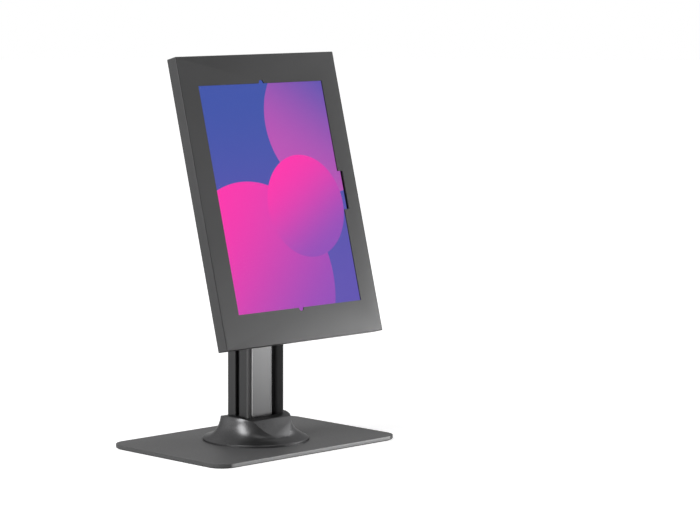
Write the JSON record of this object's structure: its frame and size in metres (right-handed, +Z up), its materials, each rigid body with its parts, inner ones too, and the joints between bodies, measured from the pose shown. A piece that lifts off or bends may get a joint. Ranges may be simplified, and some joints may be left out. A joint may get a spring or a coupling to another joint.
{
  "type": "tablet display stand",
  "caption": "Counter-top stand that locks a large tablet in a steel case, tilts it on a column, turns it between portrait and landscape, and opens at the front.",
  "frame": {"origin": "middle of the base pad's underside, where the stand rests on the table", "axes": "+X to the right seen from the front, +Y to the rear, +Z up the column; the screen faces -Y"},
  "size_m": [0.296, 0.198, 0.467],
  "materials": {
    "case_paint": "fine satin powder coat",
    "cover_paint": "fine satin powder coat",
    "base_paint": "satin powder coat",
    "bracket_paint": "satin powder coat",
    "collar_paint": "die cast, satin powder coat",
    "column_anodised": "dark anodised, satin",
    "strip_anodised": "grey anodised, semi-gloss",
    "fastener_steel": "blackened",
    "hub_steel": "zinc plated, satin",
    "lock_chrome": "polished",
    "nylon": "moulded",
    "pad_rubber": "matt sheet",
    "foam": "closed-cell foam",
    "tablet_shell": "bead-blasted, anodised",
    "screen": "lit picture of coloured bands",
    "screen_glass": "clear, polished"
  },
  "bodies": {
    "base": {"base_pad": "pad_rubber", "base_plate": "base_paint", "column_screws": "fastener_steel", "collar": "collar_paint", "collar_screws": "fastener_steel", "column_extrusion": "column_anodised", "front_cover_strip": "strip_anodised", "rear_cover_strip": "strip_anodised", "head_bracket": "bracket_paint", "head_screws": "fastener_steel", "pivot_bolt": "fastener_steel", "pivot_nut": "fastener_steel", "pivot_washers": "fastener_steel", "pivot_spacers": "nylon", "lock_bolt": "fastener_steel", "lock_bolt_nut": "fastener_steel", "lock_bolt_washers": "fastener_steel", "lock_bolt_spacers": "nylon"},
    "yoke": {"tilt_yoke": "bracket_paint", "hub_spigot": "hub_steel", "hub_retainer": "hub_steel", "hub_screws": "fastener_steel", "outer_friction_washer": "nylon", "inner_friction_washer": "nylon", "stop_pin": "hub_steel"},
    "rear_case": {"rear_box": "case_paint", "side_rail_left": "case_paint", "side_rail_right": "case_paint", "cushion_bar_upper": "foam", "cushion_bar_lower": "foam", "end_cushions": "foam", "side_cushions": "foam", "tablet_body": "tablet_shell", "tablet_screen": "screen", "tablet_glass": "screen_glass", "lock_body": "lock_chrome", "lock_nut": "fastener_steel"},
    "cover": {"front_cover": "cover_paint", "window_gasket": "foam", "cover_catch": "bracket_paint"},
    "key_plug": {"lock_plug": "lock_chrome", "lock_cam": "hub_steel", "cam_screw": "fastener_steel"}
  },
  "joints": [
    {"name": "tilt", "type": "hinge", "parent": "base", "child": "yoke", "pos_m": [0, -0.0165, 0.285], "axis": [-1, 0, 0], "range_deg": [-14.7, 60.3]},
    {"name": "turn", "type": "hinge", "parent": "yoke", "child": "rear_case", "pos_m": [0, -0.02801, 0.29629], "axis": [0, 0.9673, -0.2538], "range_deg": [0, 90]},
    {"name": "front_opening", "type": "hinge", "parent": "rear_case", "child": "cover", "pos_m": [0, -0.07419, 0.1311], "axis": [1, 0, 0], "range_deg": [0, 60]},
    {"name": "key_turn", "type": "hinge", "parent": "rear_case", "child": "key_plug", "pos_m": [0, 0.00636, 0.447], "axis": [0, -0.9673, 0.2538], "range_deg": [0, 90]}
  ]
}
